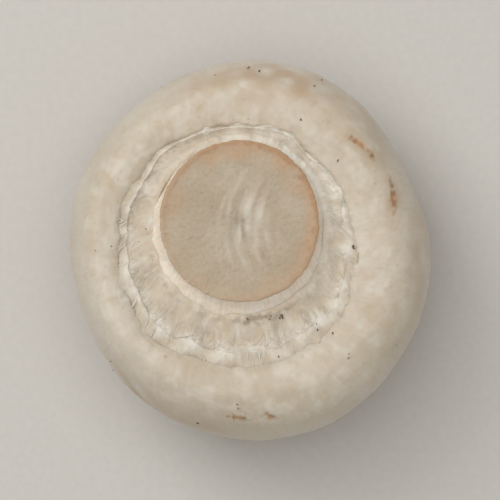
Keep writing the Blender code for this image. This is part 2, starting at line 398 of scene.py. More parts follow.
def rough(points, spacing, seed, count=28):
    """An uneven field over space: plane sine waves in seeded directions, their lengths spread about the
    spacing, summed so that the field mostly stays within -2 and 2."""
    chance = np.random.default_rng(seed)
    directions = chance.normal(size=(count, 3))
    directions /= np.linalg.norm(directions, axis=1, keepdims=True)
    directions /= spacing * chance.uniform(0.7, 1.5, (count, 1))
    phases = chance.uniform(0, 2 * math.pi, count)
    total = np.zeros(points.shape[:-1])
    for direction, phase in zip(directions, phases):
        total += np.sin(points @ direction * (2 * math.pi) + phase)
    return total / math.sqrt(count / 2)


def uneven(points, *fields):
    """A sum of uneven fields over space, each its strength times rough() of its spacing and seed."""
    return sum(strength * rough(points, spacing, seed) for strength, spacing, seed in fields)


def grown(points):
    """Where points of the turned shapes lie once the mushroom has grown uneven, as in the solids.

    Round the axis the radius swells by the lobes, a sum of cosines of the bearing. The margin wanders by a
    mean of cosines within a bell-shaped band. Lumps, a mean of plane sine waves, and bell-shaped dents push
    points away from the middle of the cap or towards it. The stem stands off the middle of the hollow by a
    shift that fades to nothing at the ledge, and leans by an S-shaped shift with height. Another such shift
    carries the margin and all within it off the middle of the cap, and fades towards the cap's side.
    """
    bearing = np.arctan2(points[..., 1], points[..., 0])
    radius = np.hypot(points[..., 0], points[..., 1])
    height = points[..., 2]

    lobes = sum(share * np.cos(count * (bearing - peak)) for count, share, peak in LOBES)
    outwards = smooth_step(radius, CUT_RADIUS, CAP_RADIUS)
    swelling = 1 + lobes * (STEM_LOBE_SHARE + (1 - STEM_LOBE_SHARE) * outwards)
    near_margin = bell(radius, MARGIN_RADIUS, MARGIN_WIDTH)
    near_margin *= smooth_step(height, SOCKET_FLOOR, LEDGE_HEIGHT)
    wander = MARGIN_WANDER * near_margin * ring_waves(bearing, MARGIN_ORDERS, SEED)
    stretch = swelling + wander / np.maximum(radius, MM)
    moved = points * np.stack([stretch, stretch, np.ones_like(stretch)], axis=-1)

    middle = np.array([0, 0, CAP_WIDEST_HEIGHT])
    away = points - middle
    reach = np.linalg.norm(away, axis=-1)
    push = LUMP_HEIGHT * space_waves(points, LUMP_SPACING, SEED)
    for dent_side, elevation, width, depth in CAP_DENTS:
        level = math.cos(elevation)
        way = np.array([level * math.cos(dent_side), level * math.sin(dent_side), math.sin(elevation)])
        distance = np.linalg.norm(away - way * CAP_RADIUS, axis=-1)
        push -= depth * bell(distance, 0, width)
    push *= smooth_step(reach, 0, CUT_RADIUS) / np.maximum(reach, MM)
    moved += away * push[..., None]

    veil_inner, veil_outer = FOOT_RADIUS + GAP, LEDGE_RADIUS - GAP
    offset = STEM_OFFSET * np.clip((veil_outer - radius) / (veil_outer - veil_inner), 0, 1)
    offset *= smooth_step(height, CAP_WIDEST_HEIGHT / 2, CAP_WIDEST_HEIGHT)
    offset += STEM_LEAN * smooth_step(height, LEDGE_HEIGHT, CUT_HEIGHT)
    underside = UNDERSIDE_OFFSET * smooth_step(height, CAP_WIDEST_HEIGHT, MARGIN_HEIGHT)
    underside *= 1 - smooth_step(radius, MARGIN_RADIUS, CAP_RADIUS)
    for distance, way in ((offset, STEM_BEARING), (underside, UNDERSIDE_BEARING)):
        moved[..., 0] += distance * math.cos(way)
        moved[..., 1] += distance * math.sin(way)
    return moved


def tipped(points):
    """Points turned about the X axis by the angle at which the mushroom rests."""
    cosine, sine = math.cos(TIP), math.sin(TIP)
    x, y, z = points[..., 0], points[..., 1], points[..., 2]
    return np.stack([x, y * cosine + z * sine, z * cosine - y * sine], axis=-1)


def resting_shift():
    """How far the tipped shapes are moved: the middle of the cap's box, and its top, match the solid's."""
    low_corner, high_corner = (np.array(corner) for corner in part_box("cap"))
    cap = tipped(grown(turned(cap_outline()[::2], CAP_COLUMNS // 4))).reshape(-1, 3)
    shift = (low_corner + high_corner) / 2 - (cap.min(axis=0) + cap.max(axis=0)) / 2
    shift[2] = high_corner[2] - cap[:, 2].max()
    return shift


RESTING_SHIFT = resting_shift()


def at_rest(points):
    """Points of the grown shapes where they lie in the world."""
    return tipped(points) + RESTING_SHIFT


def outward(grid, ring=False):
    """Unit normals of a grid that closes round its columns, and round its rows where it is a ring: the
    cross product of its run down the rows and its run round the columns."""
    down = np.roll(grid, -1, axis=0) - np.roll(grid, 1, axis=0) if ring else np.gradient(grid, axis=0)
    around = np.roll(grid, -1, axis=1) - np.roll(grid, 1, axis=1)
    normal = np.cross(down, around)
    return normal / np.maximum(np.linalg.norm(normal, axis=2, keepdims=True), 1e-12)


def skin_length(outline):
    """Distance along an outline from its first point."""
    return np.concatenate([[0], np.cumsum(np.linalg.norm(np.diff(outline, axis=0), axis=1))])


def add_piece(name, grids, fields=None, ring=False):
    """A mesh object of one or more grids of world points, (count, rows, columns, 3), that close round their
    columns. A ring closes round its rows too; any other grid is closed at each end by a fan to the middle
    of its end row. Each field is a number or a vector for every point, and becomes an attribute."""
    count, rows, columns = grids.shape[:3]
    index = np.arange(count * rows * columns).reshape(count, rows, columns)
    below = np.roll(index, -1, axis=1)
    quads = np.stack([index, below, np.roll(below, -1, axis=2), np.roll(index, -1, axis=2)], axis=3)
    faces = (quads if ring else quads[:, :-1]).reshape(-1, 4).tolist()
    if not ring:
        first_pole = np.repeat(index.size + np.arange(count)[:, None], columns, axis=1)
        first, last = index[:, 0], index[:, -1]
        next_first, next_last = np.roll(first, -1, axis=1), np.roll(last, -1, axis=1)
        for fan in (first_pole, first, next_first), (last, first_pole + count, next_last):
            faces += np.stack(fan, axis=2).reshape(-1, 3).tolist()

    def with_poles(values):
        """The values of all points in one list, then the mean of each end row where fans close the ends."""
        flat = values.reshape(index.size, -1)
        if ring:
            return flat
        poles = (values[:, end].reshape(count, columns, -1).mean(axis=1) for end in (0, -1))
        return np.vstack([flat, *poles])

    mesh = bpy.data.meshes.new(name)
    mesh.from_pydata(with_poles(grids).tolist(), [], faces)
    mesh.shade_smooth()
    for field_name, field in (fields or {}).items():
        values = with_poles(field[None] if count == 1 else field)
        kind, key = ("FLOAT_VECTOR", "vector") if values.shape[1] == 3 else ("FLOAT", "value")
        mesh.attributes.new(field_name, kind, "POINT").data.foreach_set(key, values.ravel())
    piece = bpy.data.objects.new(name, mesh)
    bpy.context.scene.collection.objects.link(piece)
    return piece


def grain_space(bearing, along, stretch):
    """Coordinates in which an even field becomes streaks that run down the skin: a cylinder of the margin's
    radius round which the bearing is wound, with the distance along the skin shortened."""
    level = np.ones_like(bearing * along)
    around = (np.cos(bearing) * MARGIN_RADIUS * level, np.sin(bearing) * MARGIN_RADIUS * level)
    return np.stack([*around, along / stretch * level], axis=-1)


def angle_from(middle, bearing):
    """The angle from one bearing to others, between minus and plus half a turn."""
    return (bearing - middle + math.pi) % (2 * math.pi) - math.pi


def blots(bearing, along, radius, marks):
    """Soft ellipses on the skin, each exp(-(u^2 + v^2)) of the turned distances over its half sizes."""
    total = np.zeros(np.broadcast(bearing, along).shape)
    for mark_bearing, distance, half_length, half_width, turn, strength in marks:
        cosine, sine = math.cos(math.radians(turn)), math.sin(math.radians(turn))
        aside = angle_from(math.radians(mark_bearing), bearing) * radius
        below = along - distance * MM
        lengthways = bell(aside * cosine + below * sine, 0, half_length * MM)
        crossways = bell(below * cosine - aside * sine, 0, half_width * MM)
        total = np.maximum(total, strength * lengthways * crossways)
    return total


def pushed(surface, normal, relief, bearing, sideways, upwards):
    """A surface moved along its normals by the relief, along the radius by the sideways shift and up by the
    upwards shift, each in millimetres."""
    spokes = np.stack([np.cos(bearing), np.sin(bearing), np.zeros_like(bearing)], axis=-1)
    moved = normal * relief[..., None] + spokes * sideways[..., None]
    moved[..., 2] += upwards
    return surface + moved * MM


def stretched_side(bearing):
    """How far the veil is stretched: a cosine that is 0.25 where the stem stands nearest to the margin, and
    1 on the other side."""
    return 0.625 - 0.375 * np.cos(bearing - STEM_BEARING)


def bell_round(bearing, middle, reach):
    """A bell-shaped weight round the axis, about the middle's bearing."""
    return bell(angle_from(middle, bearing), 0, reach)


def open_crevice(bearing):
    """How open the crevice at the margin is: an S-shaped rise from 0 to 1 with the stretch of the veil."""
    return smooth_step(stretched_side(bearing), 0.3, 0.9)


def make_cap():
    """The skin of the cap. Relief over the grown surface, along its normals: broad soft unevenness that is
    weaker on the smooth dome, silky streaks, pleats that fade away from the lip, woolly patches on the
    shoulder and over the lip's pale side, scaly patches on the dome, and shallow bruises. The lip is ragged
    by uneven fields along the radius, more in some stretches, and frayed by another upwards."""
    outline = cap_outline()
    bearing = bearings(CAP_COLUMNS)
    length = skin_length(outline)
    lip_row = int(np.argmin(np.hypot(outline[:, 0] - MARGIN_RADIUS, outline[:, 1] - MARGIN_HEIGHT)))
    along = (length - length[lip_row])[:, None]
    radius = outline[:, :1]
    surface = grown(turned(outline, CAP_COLUMNS))
    grain = grain_space(bearing, along, CAP_GRAIN)
    short_grain = grain_space(bearing, along, LIP_GRAIN)

    shown = smooth_step(along, *SKIN_SHOWS)
    off_crown = smooth_step(radius, *SILK_BEGINS)
    off_crown[: lip_row + 1] = 1
    dome = smooth_step(along, *DOME_BEGINS)
    shoulder = smooth_step(along, *SHOULDER_BEGINS) * (1 - smooth_step(along, *SHOULDER_ENDS))
    webbed = bell_round(bearing, *PALE_SIDE) * bell(along, 0, LIP_WEB_WIDTH)
    wool = 0.75 * smooth_step(uneven(surface, *WOOL_TUFTS), *TUFTED) * shoulder
    wool = np.clip(wool + webbed, 0, 1)
    scaly = smooth_step(uneven(surface, SCALY_PATCHES), *SCALY) * smooth_step(along, *SCALES_BEGIN)
    bruise = blots(bearing, along, radius, BRUISES) * (0.75 + uneven(surface, BRUISE_BREAKS))
    bruise = np.clip(bruise, 0, 1)
    # Tan patches, and painted shade where the patches lie on the right of the shoulder
    tan_and_shade = blots(bearing, along, radius, TANNED_AND_SHADED_PATCHES) * (0.7 + uneven(surface, TAN_AND_SHADE_CLOUDS))
    tan_and_shade = np.clip(tan_and_shade + 0.5 * scaly, 0, 1)

    relief = uneven(surface, CAP_SWELLS) + uneven(surface, CAP_RIPPLES) * (1 - 0.7 * dome)
    relief += uneven(grain, CAP_SILK) * off_crown
    relief += uneven(short_grain, LIP_PLEATS) * np.exp(-np.abs(along) / PLEAT_LENGTH)
    relief += wool * (WOOL_RISE + uneven(surface, WOOL_NAP))
    relief += scaly * uneven(surface, SCALE_EDGES) - BRUISE_DEPTH * bruise
    near_lip = bell(along, 0, LIP_WIDTH)
    tattered = smooth_step(uneven(grain, TATTERED_STRETCHES), *TATTERED) * stretched_side(bearing)
    ragged = uneven(short_grain, *LIP_TATTERS) * tattered * near_lip
    frayed = uneven(short_grain, LIP_FRAYS) * near_lip
    surface = pushed(surface, outward(surface), relief * shown, bearing, ragged, frayed)

    world = at_rest(surface)
    world[..., 2] = np.maximum(world[..., 2], FLOOR_CLEARANCE)
    level = np.ones_like(bearing)
    # Painted shade in the crevice inside the lip, stronger where the crevice is open
    crease_shade = (1 - smooth_step(along, *CREASE_SHADE_ENDS)) * open_crevice(bearing)
    fields = {"grain": grain, "bruise": bruise, "tan_and_shade": tan_and_shade, "wool": wool, "silk": off_crown * level,
              "dome": dome * level, "crease_shade": crease_shade}
    return add_piece("cap_skin", world[None], fields), world, lip_row


def cut_plane_height(points):
    """Height of the knife's cut over grown points: a plane that rises towards +Y."""
    return CUT_HEIGHT + points[..., 1] * math.tan(CUT_SLANT)


def make_stem():
    """The stem. Its end is drawn to the plane of the cut. Over the cut lie a raised rim with a chipped
    edge, a sunken ring inside it, a pith and the fine drag lines of a knife; streaks run down the side. The
    pith is a bell both ways, its streaks an uneven field drawn out along Y and bent to parabolas."""
    outline = stem_outline()
    bearing = bearings(STEM_COLUMNS)
    length = skin_length(outline)
    rim_row = int(np.argmax(length >= CUT_RADIUS - RIM_INSET))
    along = (length - length[rim_row])[:, None]
    surface = grown(turned(outline, STEM_COLUMNS))

    to_cut = cut_plane_height(surface) - surface[..., 2]
    fade = 1 - smooth_step(along, 0, CUT_FADE)
    surface[..., 2] += np.where(along <= 0, to_cut, to_cut[rim_row][None, :] * fade)

    level = np.ones_like(bearing)
    on_face = (1 - smooth_step(along, 0, FACE_FADE)) * level
    share = np.minimum(outline[:, :1], CUT_RADIUS) / CUT_RADIUS * level
    from_middle = surface - surface[0].mean(axis=0) - PITH_OFFSET
    x, y = from_middle[..., 0], from_middle[..., 1]
    bent = np.stack([x - PITH_BEND * y**2, y / PITH_GRAIN, 0 * x], axis=-1)
    pith = bell(x, 0, PITH_WIDTH) * bell(y, 0, PITH_LENGTH) * (0.8 + uneven(surface, PITH_PATCHES))
    streaked_pith = np.clip(pith * (0.65 + 0.3 * uneven(bent, *PITH_STREAKS)), 0, 1)
    browner = np.cos(bearing - BROWNEST_BEARING)
    browned = smooth_step(share + uneven(surface, BROWN_WANDER), *BROWNED_RING) * (0.65 + 0.35 * browner)
    face = RIM_RISE * bell(share, *RAISED_RING) - RIM_SINK * bell(share, *SUNKEN_RING)
    face += uneven(surface, *CUT_DIMPLES) + uneven(surface * KNIFE_GRAIN, KNIFE_DRAG)
    face += PITH_RISE * streaked_pith
    fibrils = grain_space(bearing, along, STEM_GRAIN)
    side = uneven(fibrils, *STEM_FIBRILS) + uneven(surface, *STEM_DIMPLES)
    side *= smooth_step(along, *SIDE_BEGINS) * (1 - smooth_step(along, *SIDE_ENDS))
    chipped = (CHIPPED_REACH + uneven(surface, *RIM_CHIPS)) * bell(along, 0, CHIPPED_WIDTH)
    surface = pushed(surface, outward(surface), face * on_face + side, bearing, chipped, 0.4 * chipped)

    world = at_rest(surface)
    edge = smooth_step(share + uneven(surface, RIM_WANDER), *BROWN_EDGE) * (0.55 + 0.45 * browner)
    fields = {"grain": fibrils, "on_face": on_face, "pith": streaked_pith, "browned": browned, "edge": edge}
    return add_piece("stem_flesh", world[None], fields), world


def make_veil():
    """The torn veil. Its upper face is raised and lowered round the axis as in the solids, then made
    cottony by uneven fields at several spacings and by folds that run from the stem to the margin. A
    bell-shaped collar about the foot of the stem grows it on to the stem, most where the stem stands
    nearest to the margin. Its edge is torn by uneven fields along the radius, and others break the groove
    outside it."""
    outline = veil_outline()
    bearing = bearings(VEIL_COLUMNS)
    under = LEDGE_HEIGHT + GAP
    grid = turned(outline, VEIL_COLUMNS)
    upper = smooth_step(grid[..., 2], under, under + VEIL_THICKNESS)
    grid[..., 2] += VEIL_TATTER * upper * ring_waves(bearing, VEIL_ORDERS, SEED + 1)
    surface = grown(grid)
    radius = outline[:, :1]
    grain = grain_space(bearing, radius, VEIL_GRAIN)

    closed_side = 1 - stretched_side(bearing)
    seam = bell(radius, FOOT_RADIUS, SEAM_WIDTH)
    ridge = bell(radius, VEIL_EDGE_RADIUS, RIDGE_WIDTH)
    edge = bell(radius, VEIL_EDGE_RADIUS, TORN_WIDTH) * upper * stretched_side(bearing)
    groove = smooth_step(radius, GROOVE_RADIUS, CREVICE_RADIUS)
    collar = (0.5 + 0.67 * closed_side) * bell(radius, COLLAR_RADIUS, COLLAR_WIDTH)
    grown_on = SEAM_RISE + uneven(grain, SEAM_FOLDS) + uneven(surface, SEAM_TUFTS)
    broken = GROOVE_RISE * closed_side - GROOVE_SINK + uneven(grain, *GROOVE_BREAKS)
    relief = (uneven(surface, *COTTON) + uneven(grain, COTTON_FOLDS)) * (1 - 0.6 * collar)
    torn = uneven(grain, *EDGE_TEARS) * edge
    raised = uneven(grain, EDGE_CURLS) * edge
    raised += (grown_on * seam + COLLAR_RISE * collar + broken * groove) * upper
    surface = pushed(surface, outward(surface, ring=True), relief * upper, bearing, torn, raised)

    world = at_rest(surface)
    pale = bell_round(bearing, *PALE_SIDE)
    # Painted light and shade: the cotton is paler where it stands up, on its ridge and on its collar, and
    # darker in its hollows; the pale side adds to it
    high = 0.3 + relief * 2.2 + 0.36 * ridge + 0.2 * pale + collar * (0.25 + 0.3 * pale)
    # Painted shade where the groove at the margin sinks deep and along the seam with the stem, stronger
    # where the crevice is open
    sunk = groove * np.clip(0.5 - 4 * broken, 0, 1)
    crease_shade = np.clip(seam * (0.5 - grown_on * 2) + sunk, 0, 1) * open_crevice(bearing)
    dust = np.clip(seam * (1 + uneven(surface, DUST_SPECKS)), 0, 1)
    dust *= bell_round(bearing, *DUSTY_SIDE)
    fields = {"grain": grain, "high": np.clip(high, 0, 1) * upper, "crease_shade": crease_shade, "dust": dust}
    edge_row = int(np.argmax(outline[:, 1]))
    return add_piece("veil_down", world[None], fields, ring=True), world, edge_row


def on_grid(grid, row, column):
    """The grid at fractional rows and columns, along straight lines between its points. Its columns close
    round."""
    top, left = np.floor(row).astype(int), np.floor(column).astype(int)
    down, right = (row - top)[..., None], (column - left)[..., None]
    width = grid.shape[1]
    upper = grid[top, left % width] * (1 - right) + grid[top, (left + 1) % width] * right
    lower = grid[top + 1, left % width] * (1 - right) + grid[top + 1, (left + 1) % width] * right
    return upper * (1 - down) + lower * down


def strands(paths, half_width, half_thickness, sides):
    """Grids of slender strands: an ellipse carried along each path at right angles to it, its half width
    level and its half thickness upright, both shrinking to a third at the strand's far end."""
    along = np.gradient(paths, axis=1)
    along /= np.linalg.norm(along, axis=2, keepdims=True)
    aside = np.cross(along, (0, 0, 1))
    aside /= np.maximum(np.linalg.norm(aside, axis=2, keepdims=True), 1e-9)
    over = np.cross(aside, along)
    turn = np.arange(sides) / sides * 2 * math.pi
    taper = 1 - np.linspace(0, 1, paths.shape[1]) ** 2 * 0.67
    wide = half_width[:, None, None, None] * taper[:, None, None] * np.cos(turn)[:, None]
    thick = half_thickness[:, None, None, None] * taper[:, None, None] * np.sin(turn)[:, None]
    return paths[:, :, None] + aside[:, :, None] * wide + over[:, :, None] * thick


def arched(start, middle, end, steps):
    """Paths of a parabola each: (1 - t)^2 start + 2 t (1 - t) middle + t^2 end."""
    t = np.linspace(0, 1, steps)[:, None]
    return (1 - t) ** 2 * start[:, None] + 2 * t * (1 - t) * middle[:, None] + t**2 * end[:, None]


def torn_bearings(count, chance):
    """Seeded bearings as shares of a turn, gathered about the side where the veil is stretched most."""
    return (STEM_BEARING / (2 * math.pi) + 0.5 + chance.normal(0, 0.22, count)) % 1


def make_veil_threads(veil_grid, edge_row, chance):
    """Loose threads that lie on the veil from the stem towards the margin, wandering a little round the
    axis, each arched clear of the veil and sunk at both ends."""
    t = np.linspace(0, 1, 8)[None, :]
    column = torn_bearings(THREADS, chance)[:, None] * VEIL_COLUMNS + chance.normal(0, 9, (THREADS, 1)) * t
    column = column + chance.normal(0, 2.5, (THREADS, 1)) * np.sin(2 * math.pi * t)
    first = edge_row - chance.uniform(12, 28, (THREADS, 1))
    row = first + (edge_row + chance.uniform(-4, 3, (THREADS, 1)) - first) * t
    paths = on_grid(veil_grid, row, column)
    paths[..., 2] += (chance.uniform(0.02, 0.09, (THREADS, 1)) * np.sin(math.pi * t) - 0.015) * MM
    width = chance.uniform(0.014, 0.03, THREADS) * MM
    return add_piece("veil_threads", strands(paths, width, width * 0.8, 4))


def make_margin_shreds(veil_grid, edge_row, cap_grid, lip_row, chance):
    """Shreds of veil across the crevice at the margin. Each leaves the lip, and its arch ends on the veil's
    torn edge or stops short of it."""
    share = torn_bearings(SHREDS, chance)
    start = on_grid(cap_grid, lip_row + chance.uniform(0, 7, SHREDS), share * CAP_COLUMNS)
    drift = chance.normal(0, 0.003, SHREDS)
    end = on_grid(veil_grid, edge_row + chance.uniform(-5, 6, SHREDS), (share + drift) * VEIL_COLUMNS)
    reach = np.where(chance.uniform(0, 1, SHREDS) < 0.6, 1, chance.uniform(0.35, 0.8, SHREDS))[:, None]
    end = start + (end - start) * reach
    middle = (start + end) / 2 + chance.normal(0, 0.07, (SHREDS, 3)) * MM
    middle[:, 2] += chance.uniform(0.0, 0.15, SHREDS) * MM
    width = chance.uniform(0.02, 0.10, SHREDS) * MM
    return add_piece("margin_shreds", strands(arched(start, middle, end, 7), width, width * 0.35, 6))


def make_fuzz(veil_grid, edge_row, cap_grid, lip_row, chance):
    """Short hairs of the torn veil that stand on it towards its edge and on the lip, leaning any way."""
    share = torn_bearings(2 * HAIRS, chance).reshape(2, HAIRS)
    on_veil = on_grid(veil_grid, edge_row + chance.uniform(-26, 5, HAIRS), share[0] * VEIL_COLUMNS)
    on_lip = on_grid(cap_grid, lip_row + chance.uniform(0, 16, HAIRS), share[1] * CAP_COLUMNS)
    start = np.vstack([on_veil, on_lip])
    end = start + chance.normal(0, 1, (2 * HAIRS, 3)) * (0.20 * MM, 0.20 * MM, 0.04 * MM)
    end[:, 2] += chance.uniform(0.04, 0.16, 2 * HAIRS) * MM
    middle = (start + end) / 2 + chance.normal(0, 0.06, (2 * HAIRS, 3)) * MM
    width = chance.uniform(0.007, 0.014, 2 * HAIRS) * MM
    return add_piece("veil_fuzz", strands(arched(start, middle, end, 4), width, width, 3))


def make_crumbs(grids, lip_row, chance):
    """Crumbs of peat from the growing bed: round grids of a polar angle and a turn about it, squashed to
    random sizes, dented by an uneven field, turned any way and sunk a little into the skin below them. Some
    gather at the given spots, and the others are strewn over the outside of the cap."""
    points = np.vstack([grid.reshape(-1, 3) for grid in grids])
    normals = np.vstack([outward(grid).reshape(-1, 3) for grid in grids])
    aims, sizes = [], []
    for x, y, spread, number, size in CRUMB_SPOTS:
        aims.append(np.array([x, y]) + chance.normal(0, 1, (number, 2)) * spread)
        sizes.append(size * chance.uniform(0.6, 1.2, number))
    aims, sizes = np.vstack(aims) * MM, np.concatenate(sizes) * MM
    from_above = np.where(normals[:, 2] > 0.1, points[:, 2], -1)
    near = np.linalg.norm(points[None, :, :2] - aims[:, None], axis=2) < CRUMB_SEARCH
    chosen = np.argmax(np.where(near, from_above, -1), axis=1)
    outside = np.flatnonzero(grids[0][lip_row:, :, 2].ravel() > CRUMB_LOWEST) + lip_row * CAP_COLUMNS
    strewn = chance.choice(outside, STREWN_CRUMBS)
    chosen = np.concatenate([chosen, strewn])
    sizes = np.concatenate([sizes, chance.uniform(0.05, 0.14, STREWN_CRUMBS) * MM])

    rows, columns = 5, 8
    polar = (np.arange(rows) + 0.5)[:, None] / rows * math.pi
    turn = np.arange(columns)[None, :] / columns * 2 * math.pi
    ball = np.stack([np.sin(polar) * np.cos(turn), np.sin(polar) * np.sin(turn),
                     np.cos(polar) * np.ones_like(turn)], axis=-1)
    count = len(chosen)
    squash = chance.uniform(0.4, 1.2, (count, 1, 1, 3))
    dents = 1 + uneven(ball + chance.uniform(0, 50, (count, 1, 1, 3)), CRUMB_DENTS)
    turns, _ = np.linalg.qr(chance.normal(size=(count, 3, 3)))
    turns *= np.sign(np.linalg.det(turns))[:, None, None]
    crumbs = (ball * squash * dents[..., None]) @ turns[:, None] * sizes[:, None, None, None]
    middles = points[chosen] + normals[chosen] * sizes[:, None] * 0.35
    return add_piece("peat_crumbs", crumbs + middles[:, None, None])


def linear(hex_colour):
    """Linear red, green, blue and full alpha of an sRGB colour such as "c9bda9"."""
    shares = np.array([int(hex_colour[i:i + 2], 16) / 255 for i in (0, 2, 4)])
    return (*np.where(shares <= 0.04045, shares / 12.92, ((shares + 0.055) / 1.055) ** 2.4), 1)


def node(tree, kind, inputs=None, **settings):
    """Adds a node with its settings. An input is linked where its value is a socket, and set where it
    isn't."""
    made = tree.nodes.new(kind)
    for key, value in settings.items():
        setattr(made, key, value)
    for key, value in (inputs or {}).items():
        if isinstance(value, bpy.types.NodeSocket):
            tree.links.new(value, made.inputs[key])
        else:
            made.inputs[key].default_value = value
    return made


def new_material(name, piece):
    """An empty node material on a piece: its tree, and the place on the piece as a socket."""
    material = bpy.data.materials.new(name)
    material.use_nodes = True
    tree = material.node_tree
    tree.nodes.clear()
    piece.data.materials.append(material)
    return tree, node(tree, "ShaderNodeTexCoord").outputs["Object"]


def fields_of(tree, *names):
    """The grain of a piece and its other named fields, as sockets."""
    grain = node(tree, "ShaderNodeAttribute", attribute_name="grain").outputs["Vector"]
    return grain, *(node(tree, "ShaderNodeAttribute", attribute_name=name).outputs["Fac"] for name in names)


def per_metre(millimetres):
    """The scale at which a noise or cell pattern repeats about every so many millimetres."""
    return 1 / (millimetres * MM)


def noise(tree, place, spacing, detail, roughness=0.5):
    """An uneven pattern, mostly between 0.3 and 0.7, that repeats about every so many millimetres."""
    inputs = {"Vector": place, "Scale": per_metre(spacing), "Detail": detail, "Roughness": roughness}
    return node(tree, "ShaderNodeTexNoise", inputs).outputs["Fac"]


def result(tree, operation, *values):
    """What a sum or product of values and sockets comes to, as a socket."""
    return node(tree, "ShaderNodeMath", dict(enumerate(values)), operation=operation).outputs[0]


def spread(tree, pattern, low, high, least, most):
    """A value that runs from least to most while a pattern rises from low to high."""
    inputs = {"Value": pattern, "From Min": low, "From Max": high, "To Min": least, "To Max": most}
    return node(tree, "ShaderNodeMapRange", inputs).outputs[0]


def ramp(tree, pattern, *stops):
    """A colour that runs through the (place, sRGB colour) stops while a pattern rises."""
    made = node(tree, "ShaderNodeValToRGB", {"Fac": pattern})
    elements = made.color_ramp.elements
    elements.remove(elements[1])
    for number, (place, colour) in enumerate(stops):
        element = elements.new(place) if number else elements[0]
        element.position = place
        element.color = linear(colour)
    return made.outputs["Color"]


def coated(tree, colour, *coats):
    """A colour under coats laid on in turn. Each coat is (colour, pattern, low, high, most), and covers
    what is under it as the pattern rises from low to high, at most so strongly."""
    for over, pattern, low, high, most in coats:
        over = linear(over) if isinstance(over, str) else over
        share = spread(tree, pattern, low, high, 0, most)
        colour = node(tree, "ShaderNodeMix", {0: share, 6: colour, 7: over}, data_type="RGBA").outputs[2]
    return colour


def finish(tree, colour, roughness, height, bump_depth, **extra):
    """A shader of this colour and roughness, with a bump of the height pattern, as the tree's output."""
    bump = node(tree, "ShaderNodeBump", {"Height": height, "Distance": bump_depth})
    inputs = {"Base Color": colour, "Roughness": roughness, "Normal": bump.outputs[0], **extra}
    shader = node(tree, "ShaderNodeBsdfPrincipled", inputs)
    node(tree, "ShaderNodeOutputMaterial", {"Surface": shader.outputs[0]})


def finish_flesh(tree, colour, heights, bump_depth, roughness, sheen):
    """The shader that all of the mushroom's flesh shares: matt, with light that spreads about a millimetre
    inside it, redder light further, and a bump from the sum of two patterns."""
    flesh = {"IOR": 1.4, "Subsurface Weight": 0.3, "Subsurface Radius": (1.0, 0.62, 0.4),
             "Subsurface Scale": 1.0 * MM, "Sheen Weight": sheen, "Sheen Roughness": 0.5}
    finish(tree, colour, roughness, result(tree, "ADD", *heights), bump_depth, **flesh)


def paint_cuticle(piece):
    """Silky dry skin of a white button: matt, a little translucent, cream with soft tan clouds. Fine fibres
    run down it, bruises and nicks are brown, and dust from the bed sits on it in specks. Painted shade
    darkens the crevice inside the lip and the right of the shoulder."""
    tree, place = new_material("mushroom cuticle", piece)
    grain, bruise, tan_and_shade, wool, silk, dome, crease_shade = fields_of(
        tree, "bruise", "tan_and_shade", "wool", "silk", "dome", "crease_shade")
    clouds = noise(tree, place, 9, 4)
    mottles = noise(tree, place, 1.8, 6, 0.62)
    grit = noise(tree, place, 0.6, 4)
    fibres = result(tree, "MULTIPLY", noise(tree, grain, 0.35, 3), silk)
    calm_mottles = result(tree, "MULTIPLY_ADD", dome, -0.12, mottles)
    calm_grit = result(tree, "MULTIPLY_ADD", dome, -0.12, grit)
    brown = ramp(tree, mottles, (0.38, "866547"), (0.62, "bb8d60"))
    nicked = result(tree, "MULTIPLY", bruise, grit)

    cells = node(tree, "ShaderNodeTexVoronoi", {"Vector": place, "Scale": per_metre(1.8)})
    chance = node(tree, "ShaderNodeSeparateColor", {"Color": cells.outputs["Color"]}).outputs[0]
    speck_size = spread(tree, chance, 0.6, 1, 0, 0.10)
    specks = result(tree, "SUBTRACT", speck_size, cells.outputs["Distance"])

    base = ramp(tree, clouds, (0.3, "bdb09c"), (0.5, "c6bba9"), (0.7, "cdc4b5"))
    colour = coated(
        tree, base,
        ("d9d0c1", dome, 0, 1, 0.25),
        ("b7a48a", calm_mottles, 0.5, 0.76, 0.6),
        ("ab9779", calm_grit, 0.58, 0.8, 0.45),
        ("b8a68c", fibres, 0.45, 0.75, 0.22),
        ("dcd6cb", wool, 0, 1, 0.4),
        # tan, and painted shade on the right of the shoulder
        ("b3977a", tan_and_shade, 0, 1, 0.7),
        # painted shade in the crevice inside the lip
        ("a8937a", crease_shade, 0, 1, 0.4),
        (brown, nicked, 0.08, 0.32, 0.9),
        ("6d5843", specks, 0, 0.03, 0.65),
    )
    roughness = spread(tree, calm_mottles, 0, 1, 0.42, 0.75)
    finish_flesh(tree, colour, (fibres, noise(tree, place, 0.25, 3)), 0.03 * MM, roughness, 0.12)


def paint_stem(piece):
    """Stem with its cut end. The side is smooth cream skin with long fibres. The cut has dried to a matt
    tan, browner at the rim, with a paler cottony pith off its middle and the pores of cut fibres."""
    tree, place = new_material("cut stem flesh", piece)
    grain, on_face, pith, browned, edge = fields_of(tree, "on_face", "pith", "browned", "edge")
    clouds = noise(tree, place, 3.5, 5)
    fibres = noise(tree, grain, 0.4, 3)
    pores = noise(tree, place, 0.4, 5, 0.7)
    side = ramp(tree, clouds, (0.35, "f0e3d0"), (0.65, "f8eddf"))
    side = coated(tree, side, ("cfb99b", fibres, 0.42, 0.75, 0.35))
    face = coated(
        tree, ramp(tree, clouds, (0.35, "b0a08a"), (0.65, "b7a994")),
        ("968266", pores, 0.5, 0.75, 0.5),
        ("d0c6b6", pith, 0.1, 0.9, 0.95),
        ("ba9674", browned, 0, 1, 0.75),
        ("a27c58", edge, 0, 1, 0.6),
    )
    colour = coated(tree, side, (face, on_face, 0, 1, 1))
    finish_flesh(tree, colour, (fibres, pores), 0.08 * MM, 0.62, 0.04)


